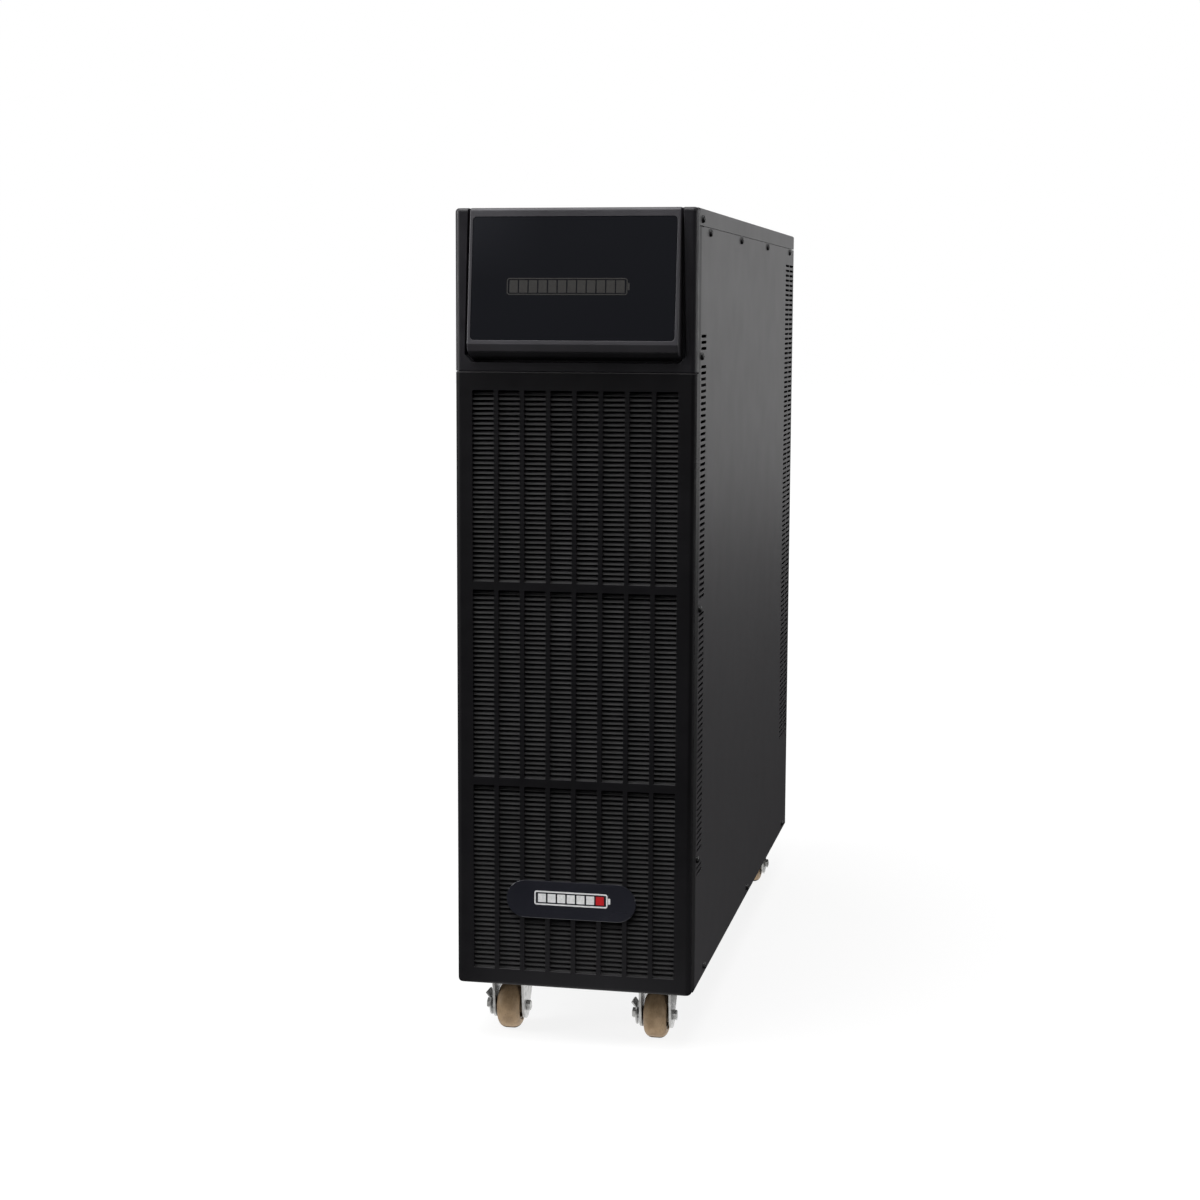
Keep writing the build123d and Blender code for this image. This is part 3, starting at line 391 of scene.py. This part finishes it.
def dress(obj, mat):
    """Gives an object one material."""
    if not obj.material_slots:
        obj.data.materials.append(mat)
    for entry in obj.material_slots:
        entry.material = mat


# each node wears the material of its slot in the record, and three have a finish of their own; the
# uprights' is the panels' powder coat darkened, a painted shade
SLOT_OF = {part["node"]: part["material_slot"] for part in frame["record"]["subparts"]}
for node_name, node_object in nodes.items():
    dress(node_object, MATERIALS[SLOT_OF[node_name]])
dress(nodes["upper_fascia"], UPPER_FASCIA)
dress(nodes["grille_louvres"], LOUVRE)
dress(nodes["front_uprights"], UPRIGHT_SHADED_COAT)


# ---- softened edges on the CAD parts ------------------------------------------------------

WELD_GAP = 0.005 * MM
FLAT_ANGLE = 0.5        # degrees: faces that meet at less become one face
ROUNDED_ANGLE = 32.0    # degrees: edges that are sharper are rounded


def soften(name, width):
    """Rounds a CAD part's sharp edges by a width in metres, with modifiers only."""
    obj = nodes[name]
    weld = obj.modifiers.new("weld", "WELD")
    weld.merge_threshold = WELD_GAP
    flat = obj.modifiers.new("flat", "DECIMATE")
    flat.decimate_type = "DISSOLVE"
    flat.angle_limit = math.radians(FLAT_ANGLE)
    bevel = obj.modifiers.new("edges", "BEVEL")
    bevel.width = width
    bevel.segments = 2
    bevel.limit_method = "ANGLE"
    bevel.angle_limit = math.radians(ROUNDED_ANGLE)
    bevel.use_clamp_overlap = True
    bevel.harden_normals = False
    normals = obj.modifiers.new("normals", "WEIGHTED_NORMAL")
    normals.keep_sharp = False
    for face in obj.data.polygons:
        face.use_smooth = True


# widths in mm
EDGE_WIDTHS = {
    "lower_fascia": 0.4,
    "upper_fascia": 0.6,
    "display_housing": 0.5,
    "top_cover": 0.35,
    "front_uprights": 0.3,
    "grille_louvres": 0.25,
    "badge": 0.4,
    "dc_connectors": 0.5,
    "dc_breaker": 0.4,
    "breaker_toggle": 0.3,
    "ground_stud": 0.2,
}
for corner in CORNERS:
    EDGE_WIDTHS[f"caster_fork_{corner}"] = 0.4
    EDGE_WIDTHS[f"caster_axle_{corner}"] = 0.3
    EDGE_WIDTHS[f"caster_plate_{corner}"] = 0.3
for corner in FRONT_CORNERS:
    EDGE_WIDTHS[f"brake_lever_{corner}"] = 0.35
for node_name, width_mm in EDGE_WIDTHS.items():
    soften(node_name, width_mm * MM)


# ---- mesh helpers -------------------------------------------------------------------------

CREASE_ANGLE = 35.0     # degrees


def new_object(name, bm, mat, smooth=True):
    """A mesh object from a bmesh, with outward normals."""
    bmesh.ops.recalc_face_normals(bm, faces=bm.faces)
    mesh = bpy.data.meshes.new(name)
    bm.to_mesh(mesh)
    bm.free()
    obj = bpy.data.objects.new(name, mesh)
    bpy.context.scene.collection.objects.link(obj)
    mesh.materials.append(mat)
    for face in mesh.polygons:
        face.use_smooth = smooth
    return obj


def arc(centre, radius, start, end, steps):
    """Points on an arc, in degrees, both ends included."""
    points = []
    for i in range(steps + 1):
        angle = math.radians(start + (end - start) * i / steps)
        points.append((centre[0] + radius * math.cos(angle), centre[1] + radius * math.sin(angle)))
    return points


def lathe_x(name, profile, centre, mat, steps=96):
    """A closed profile of (along X, radius) turned about a line along X."""
    bm = bmesh.new()
    rings = []
    for i in range(steps):
        turn = 2 * math.pi * i / steps
        loop = []
        for along, radius in profile:
            spot = (along, radius * math.cos(turn), radius * math.sin(turn))
            loop.append(bm.verts.new(Vector(spot) + centre))
        rings.append(loop)
    count = len(profile)
    for i in range(steps):
        for j in range(count):
            k = (j + 1) % count
            nxt = rings[(i + 1) % steps]
            bm.faces.new((rings[i][j], rings[i][k], nxt[k], nxt[j]))
    return new_object(name, bm, mat)


def sharp_edges(mesh, angle):
    """Edges whose two faces meet at more than an angle in radians."""
    faces_of = {}
    for face in mesh.polygons:
        for key in face.edge_keys:
            faces_of.setdefault(key, []).append(face.normal)
    by_key = {edge.key: edge for edge in mesh.edges}
    found = []
    for key, normals in faces_of.items():
        if len(normals) == 2 and normals[0].angle(normals[1], 0) > angle:
            found.append(by_key[key])
    return found


def keep_creases(obj):
    """Smooth shading that stays sharp where faces meet at more than CREASE_ANGLE."""
    normals = obj.modifiers.new("normals", "WEIGHTED_NORMAL")
    normals.keep_sharp = True
    for edge in sharp_edges(obj.data, math.radians(CREASE_ANGLE)):
        edge.use_edge_sharp = True


# ---- wheels -------------------------------------------------------------------------------

SHOULDER = 8.5 * MM             # rounding between tread and side
GROOVE_HALF = 0.35 * MM         # the mould line round the middle of the tread
GROOVE_FLOOR_HALF = 0.2 * MM
GROOVE_DEPTH = 0.12 * MM
RIM_STEP = 1.0 * MM             # from the tyre's side in to the centre's rim
DISH_DEPTH = 4.0 * MM           # from the rim in to the dish
LIP_WIDE = 2.5 * MM             # the rim's width under the tyre
HUB_RADIUS = 8.0 * MM
BORE_RADIUS = 3.05 * MM
HUB_CHAMFER = 0.6 * MM
DISH_CHAMFER = 1.0 * MM
LIP_CHAMFER = 0.4 * MM
ARC_STEPS = 14
TYRE_STEPS = 128


def wheel(corner):
    """Finely turned tyre and centre in place of the CAD wheel."""
    tread_low, tread_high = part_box(f"wheel_tread_{corner}")
    core_low, core_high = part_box(f"wheel_core_{corner}")
    centre = (tread_low + tread_high) / 2
    half = (tread_high.x - tread_low.x) / 2
    outer = (tread_high.z - tread_low.z) / 2
    seat = (core_high.z - core_low.z) / 2
    hub_half = (core_high.x - core_low.x) / 2

    groove_floor = outer - GROOVE_DEPTH
    tyre = [(-half, seat)]
    tyre += arc((-half + SHOULDER, outer - SHOULDER), SHOULDER, 180, 90, ARC_STEPS)
    tyre += [(-GROOVE_HALF, outer), (-GROOVE_FLOOR_HALF, groove_floor)]
    tyre += [(GROOVE_FLOOR_HALF, groove_floor), (GROOVE_HALF, outer)]
    tyre += arc((half - SHOULDER, outer - SHOULDER), SHOULDER, 90, 0, ARC_STEPS)
    tyre += [(half, seat)]
    tread = lathe_x(f"tyre_{corner}", tyre, centre, MATERIALS["wheel_tread"], TYRE_STEPS)
    keep_creases(tread)

    rim = half - RIM_STEP
    dish = rim - DISH_DEPTH
    lip = seat - LIP_WIDE
    side = [(hub_half, BORE_RADIUS)]
    side += [(hub_half, HUB_RADIUS - HUB_CHAMFER), (hub_half - HUB_CHAMFER, HUB_RADIUS)]
    side += [(dish + DISH_CHAMFER, HUB_RADIUS), (dish, HUB_RADIUS + DISH_CHAMFER)]
    side += [(dish, lip - DISH_CHAMFER), (dish + DISH_CHAMFER, lip)]
    side += [(rim - LIP_CHAMFER, lip), (rim, lip + LIP_CHAMFER)]
    side += [(rim, seat - LIP_CHAMFER), (rim - LIP_CHAMFER, seat)]
    outline = side + [(-x, r) for x, r in reversed(side)]
    core = lathe_x(f"centre_{corner}", outline, centre, MATERIALS["wheel_core"])
    keep_creases(core)
    for piece, part in ((tread, "wheel_tread"), (core, "wheel_core")):
        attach(piece, f"wheel_{corner}")
        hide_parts(f"{part}_{corner}")


for corner in CORNERS:
    wheel(corner)


# ---- printed symbols and plates -----------------------------------------------------------

INK_THICK = 0.10 * MM
MARK_LINE = 1.2 * MM        # stroke width of the marks on the rear
MARK_SIZE = 7 * MM
CIRCLE = (0, 337.5, 15)     # an arc's start, end and steps for sixteen points round a circle


def facing(name, direction):
    """Middle and outward normal of the part of a node's surface that faces a direction."""
    mesh = nodes[name].data
    centre = Vector()
    normal = Vector()
    total = 0.0
    for face in mesh.polygons:
        if face.normal.dot(direction) > 0.9:    # within about 25 degrees
            centre += face.center * face.area
            normal += face.normal * face.area
            total += face.area
    return centre / total, normal.normalized()


def surface_frame(name, direction):
    """A matrix whose x is to the viewer's right, y is up the surface and z is outward."""
    centre, outward = facing(name, Vector(direction))
    across = Vector((0, 0, 1)).cross(outward).normalized()
    up = outward.cross(across)
    basis = Matrix((across, up, outward)).transposed().to_4x4()
    return Matrix.Translation(centre) @ basis


def rounded_outline(wide, high, radius, steps=6):
    """A rounded rectangle about the middle, as points."""
    x = wide / 2 - radius
    y = high / 2 - radius
    points = []
    for cx, cy, start in ((x, y, 0), (-x, y, 90), (-x, -y, 180), (x, -y, 270)):
        points += arc((cx, cy), radius, start, start + 90, steps)
    return points


def slab(bm, outline, thick, at=(0.0, 0.0)):
    """A thin plate from an outline, rising from z = 0."""
    low = [bm.verts.new((x + at[0], y + at[1], 0)) for x, y in outline]
    high = [bm.verts.new((x + at[0], y + at[1], thick)) for x, y in outline]
    bm.faces.new(list(reversed(low)))
    bm.faces.new(high)
    count = len(outline)
    for i in range(count):
        j = (i + 1) % count
        bm.faces.new((low[i], low[j], high[j], high[i]))


def ring(bm, outer, inner, thick):
    """A thin frame between two outlines with the same number of points."""
    layers = []
    for outline in (outer, inner):
        for z in (0, thick):
            layers.append([bm.verts.new((x, y, z)) for x, y in outline])
    outer_low, outer_high, inner_low, inner_high = layers
    count = len(outer)
    for i in range(count):
        j = (i + 1) % count
        bm.faces.new((outer_low[i], outer_low[j], outer_high[j], outer_high[i]))
        bm.faces.new((inner_low[j], inner_low[i], inner_high[i], inner_high[j]))
        bm.faces.new((outer_high[i], outer_high[j], inner_high[j], inner_high[i]))
        bm.faces.new((outer_low[j], outer_low[i], inner_low[i], inner_low[j]))


def on_cabinet(obj, place):
    """Lays a flat piece on one of the cabinet's surfaces and lets it ride there."""
    obj.data.transform(place)
    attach(obj, "cabinet")


def battery_symbol(name, place, size, line, ink, bars, last_ink=None):
    """A generic battery pictogram: an outline with a terminal and a row of charge bars.
    The last bar may have an ink of its own; line is the outline's width."""
    wide, high = size
    thick = 1.2 * INK_THICK
    corner = 0.16 * high
    margin = 2 * line       # the outline and the clear gap inside it
    gap = 1.2 * line        # between bars
    bm = bmesh.new()
    outer = rounded_outline(wide, high, corner)
    inner = rounded_outline(wide - 2 * line, high - 2 * line, max(corner - line, 0.2 * MM))
    ring(bm, outer, inner, thick)
    terminal = rounded_outline(1.6 * line, 0.42 * high, 0.35 * line)
    slab(bm, terminal, thick, (wide / 2 + 1.1 * line, 0))
    inside = wide - 2 * margin
    pitch = inside / bars
    cell = rounded_outline(pitch - gap, high - 2 * margin, 0.3 * line)
    spots = [(-inside / 2 + pitch * (i + 0.5), 0) for i in range(bars)]
    for spot in spots if last_ink is None else spots[:-1]:
        slab(bm, cell, thick, spot)
    on_cabinet(new_object(name, bm, ink, smooth=False), place)
    if last_ink is not None:
        bm = bmesh.new()
        slab(bm, cell, thick, spots[-1])
        on_cabinet(new_object(f"{name}_accent", bm, last_ink, smooth=False), place)


def nudged(place, right, up):
    """A surface frame moved along its own surface, in metres."""
    return place @ Matrix.Translation((right, up, 0))


def front_symbols():
    """Charge bars in a battery outline, in the place of the lettering on the badge and window."""
    badge = nudged(surface_frame("badge", (0, -1, 0)), 0, 2 * MM)
    battery_symbol(
        "badge_symbol", badge, (78 * MM, 15 * MM), 1.5 * MM, INK_WHITE, 7, INK_RED
    )
    window = nudged(surface_frame("display_window", (0, -1, 0)), -6 * MM, -8 * MM)
    battery_symbol(
        "window_symbol", window, (124 * MM, 17 * MM), 1.1 * MM, INK_GREY, 12
    )


def joint_at(name):
    """A point on a joint's axis, in the row frame."""
    return next(Vector(joint["pos_m"]) for joint in frame["joints"] if joint["name"] == name)


def rear_frame(x, z):
    """A frame on the rear skin at a place, seen from behind."""
    rear_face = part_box("rear_panel")[1].y
    basis = Matrix(((-1, 0, 0), (0, 0, 1), (0, 1, 0))).to_4x4()
    return Matrix.Translation((x, rear_face, z)) @ basis


def bar(wide, high, at=(0.0, 0.0)):
    """A plain stroke with softened ends, centred on a place."""
    outline = rounded_outline(wide, high, 0.3 * min(wide, high), 3)
    return [(x + at[0], y + at[1]) for x, y in outline]


def stroke_mark(name, place, strokes):
    """A white printed mark made of straight strokes, each a hair thicker than the one it crosses."""
    bm = bmesh.new()
    for i, stroke in enumerate(strokes):
        slab(bm, stroke, INK_THICK + 0.01 * i * MM)
    on_cabinet(new_object(name, bm, INK_WHITE, smooth=False), place)


def socket_marks():
    """A plus over one contact and a minus over the other, above each DC socket."""
    low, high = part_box("dc_connectors")
    level = high.z + 8 * MM
    middle = (low.x + high.x) / 2
    contact = 10 * MM       # from a socket's middle to each of its contacts
    # from the middle of the pair to each socket
    socket = (high.x - low.x) / 2 - 26 * MM
    upright = bar(MARK_LINE, MARK_SIZE)
    flat = bar(MARK_SIZE, MARK_LINE)
    for number, x in enumerate((middle - socket, middle + socket), 1):
        stroke_mark(f"plus_mark_{number}", rear_frame(x - contact, level), [flat, upright])
        stroke_mark(f"minus_mark_{number}", rear_frame(x + contact, level), [flat])


def breaker_marks():
    """I above the breaker's nose for on, O below it for off."""
    low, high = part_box("breaker_toggle")
    x = (low.x + high.x) / 2
    middle = joint_at("breaker_switch").z
    offset = 31 * MM
    stroke_mark("on_mark", rear_frame(x, middle + offset), [bar(MARK_LINE, MARK_SIZE)])
    radius = 3.6 * MM
    bm = bmesh.new()
    outer = arc((0, 0), radius, *CIRCLE)
    inner = arc((0, 0), radius - MARK_LINE, *CIRCLE)
    ring(bm, outer, inner, INK_THICK)
    off_mark = new_object("off_mark", bm, INK_WHITE, smooth=False)
    on_cabinet(off_mark, rear_frame(x, middle - offset))


def earth_mark():
    """The earth symbol below the stud: a stem and three bars, each shorter than the last."""
    low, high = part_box("ground_stud")
    line = 1.0 * MM
    stem = 6 * MM
    drop = 2.4 * MM
    strokes = [bar(line, stem, (0, line + stem / 2))]
    for row, wide in enumerate((11 * MM, 7.5 * MM, 4 * MM)):
        strokes.append(bar(wide, line, (0, line - drop * row)))
    stroke_mark("earth_mark", rear_frame((low.x + high.x) / 2, low.z - 12 * MM), strokes)


def dome(bm, at, radius, low):
    """A low round rivet head standing on a height."""
    rings = []
    for share in (0.0, 0.35, 0.7, 0.92):
        angle = share * math.pi / 2
        level = low + 0.6 * radius * math.sin(angle)
        circle = arc(at, radius * math.cos(angle), *CIRCLE)
        rings.append([bm.verts.new((x, y, level)) for x, y in circle])
    count = len(rings[0])
    for lower, upper in zip(rings, rings[1:]):
        for i in range(count):
            j = (i + 1) % count
            bm.faces.new((lower[i], lower[j], upper[j], upper[i]))
    bm.faces.new(rings[-1])
    bm.faces.new(list(reversed(rings[0])))


def rating_plate():
    """A blank rating plate with a printed border, ruled lines and four rivets."""
    low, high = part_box("dc_connectors")
    place = rear_frame((low.x + high.x) / 2, low.z - 48 * MM)
    wide, tall = 96 * MM, 46 * MM
    thick = 0.5 * MM
    bm = bmesh.new()
    slab(bm, rounded_outline(wide, tall, 3 * MM), thick)
    plate = new_object("rating_plate", bm, PLATE_METAL, smooth=False)
    edges = plate.modifiers.new("edges", "BEVEL")
    edges.width = 0.15 * MM
    edges.limit_method = "ANGLE"
    on_cabinet(plate, place)

    border_wide, border_tall = wide - 12 * MM, tall - 8 * MM
    line = 0.6 * MM
    ink_top = thick + INK_THICK
    bm = bmesh.new()
    outer = rounded_outline(border_wide, border_tall, 2 * MM)
    inner = rounded_outline(border_wide - 2 * line, border_tall - 2 * line, 2 * MM - line)
    ring(bm, outer, inner, ink_top)
    for row in range(4):
        level = (11.5 - 7.5 * row) * MM
        slab(bm, bar(border_wide - 10 * MM, 0.5 * MM, (0, level)), ink_top)
    border = new_object("rating_border", bm, INK_GREY, smooth=False)
    on_cabinet(border, place)

    inset = 3 * MM
    bm = bmesh.new()
    for side in (-1, 1):
        for end in (-1, 1):
            at = (side * (wide / 2 - inset), end * (tall / 2 - inset))
            dome(bm, at, 1.5 * MM, thick)
    rivets = new_object("rating_rivets", bm, PLATE_METAL)
    on_cabinet(rivets, place)


front_symbols()
socket_marks()
breaker_marks()
earth_mark()
rating_plate()


# ---- stage --------------------------------------------------------------------------------

FLOOR_HALF = 24.0       # metres
DOME_RADIUS = 23.0


def glowing(name, strength):
    """A plain white emitter; returns it with its node tree and emission shader."""
    mat = bpy.data.materials.new(name)
    mat.use_nodes = True
    tree = mat.node_tree
    glow = tree.nodes.new("ShaderNodeEmission")
    glow.inputs["Color"].default_value = (1, 1, 1, 1)
    glow.inputs["Strength"].default_value = strength
    tree.links.new(glow.outputs[0], tree.nodes["Material Output"].inputs["Surface"])
    return mat, tree, glow


def floor():
    """A plain pale floor: it glows white, and takes a soft shadow only near the object."""
    bm = bmesh.new()
    corners = ((-1, -1), (1, -1), (1, 1), (-1, 1))
    bm.faces.new([bm.verts.new((x * FLOOR_HALF, y * FLOOR_HALF, 0)) for x, y in corners])
    mat, tree, glow = glowing("floor", 1.06)
    shader = tree.nodes["Principled BSDF"]
    shader.inputs["Base Color"].default_value = (0.86, 0.86, 0.86, 1)
    shader.inputs["Roughness"].default_value = 0.9
    shader.inputs["Specular IOR Level"].default_value = 0.0
    coords = tree.nodes.new("ShaderNodeTexCoord")
    length = tree.nodes.new("ShaderNodeVectorMath")
    length.operation = "LENGTH"
    tree.links.new(coords.outputs["Object"], length.inputs[0])
    # the share of glow: 0.8 under the object, all of it from 1.6 m outwards
    share = spread(tree, length.outputs["Value"], 0.3, 1.6, 0.80, 1.0)
    mix = tree.nodes.new("ShaderNodeMixShader")
    tree.links.new(share, mix.inputs["Fac"])
    tree.links.new(shader.outputs[0], mix.inputs[1])
    tree.links.new(glow.outputs[0], mix.inputs[2])
    tree.links.new(mix.outputs[0], tree.nodes["Material Output"].inputs["Surface"])
    obj = new_object("floor", bm, mat, smooth=False)
    obj.visible_glossy = False
    obj.visible_diffuse = False


def backdrop():
    """A white dome that only the camera sees."""
    bm = bmesh.new()
    bmesh.ops.create_icosphere(bm, subdivisions=4, radius=DOME_RADIUS)
    obj = new_object("backdrop", bm, glowing("backdrop", 1.0)[0])
    obj.visible_glossy = False
    obj.visible_diffuse = False
    obj.visible_transmission = False
    obj.visible_shadow = False


def softbox(name, at, target, size, power, beam=180.0):
    """A rectangular area light aimed at a point. The size is its width and height in metres,
    the power is in watts, and a grid narrows its beam, in degrees."""
    data = bpy.data.lights.new(name, "AREA")
    data.shape = "RECTANGLE"
    data.size, data.size_y = size
    data.energy = power
    data.spread = math.radians(beam)
    obj = bpy.data.objects.new(name, data)
    bpy.context.scene.collection.objects.link(obj)
    aim = Vector(target) - Vector(at)
    obj.rotation_euler = aim.to_track_quat("-Z", "Y").to_euler()
    obj.location = at
    obj.visible_camera = False


def world():
    """Soft surroundings for the reflections: dim all round, lighter overhead and to the left."""
    studio = bpy.data.worlds.new("studio")
    studio.use_nodes = True
    tree = studio.node_tree
    coords = tree.nodes.new("ShaderNodeTexCoord")
    split = tree.nodes.new("ShaderNodeSeparateXYZ")
    tree.links.new(coords.outputs["Generated"], split.inputs[0])
    overhead = spread(tree, split.outputs["Z"], 0.0, 0.9, 0.03, 0.55)
    to_left = spread(tree, split.outputs["X"], 0.1, -0.7, 0.6, 1.3)
    background = tree.nodes["Background"]
    background.inputs["Color"].default_value = (1, 1, 1, 1)
    tree.links.new(multiply(tree, overhead, to_left), background.inputs["Strength"])
    bpy.context.scene.world = studio


def camera():
    """The viewpoint, a little to the right of the front and above the middle."""
    data = bpy.data.cameras.new("camera")
    data.lens = CAMERA_LENS
    data.sensor_width = 36.0
    data.dof.use_dof = False
    obj = bpy.data.objects.new("camera", data)
    bpy.context.scene.collection.objects.link(obj)
    turn = Matrix.Rotation(math.radians(CAMERA_YAW), 4, "Z")
    tilt = Matrix.Rotation(math.radians(90 + CAMERA_PITCH), 4, "X")
    roll = Matrix.Rotation(math.radians(CAMERA_ROLL), 4, "Z")
    obj.matrix_world = Matrix.Translation(CAMERA_AT) @ turn @ tilt @ roll
    bpy.context.scene.camera = obj


floor()
backdrop()
world()
softbox("overhead", at=(-0.3, -0.9, 3.0), target=(0, 0, 0.4), size=(2.6, 2.2), power=90)
softbox("behind_right", at=(1.6, 3.4, 1.15), target=(0.1, 0, 0.6), size=(2.2, 1.9), power=12)
softbox("right_fill", at=(3.0, 0.7, 1.0), target=(0.1, 0.1, 0.5), size=(1.6, 1.6), power=30)
softbox("left_rake", at=(-2.6, -1.3, 1.4), target=(0, -0.4, 0.7), size=(1.2, 1.4), power=58)
softbox(
    "low_front", at=(0.75, -1.15, 0.12), target=(0.03, -0.33, -0.06), size=(0.4, 0.15), power=0.14,
    beam=38,
)
softbox("floor_glow", at=(0, -0.09, 0.004), target=(0, -0.09, 1.0), size=(0.24, 1.02), power=1.1)
camera()
bpy.context.scene.view_settings.view_transform = "Standard"
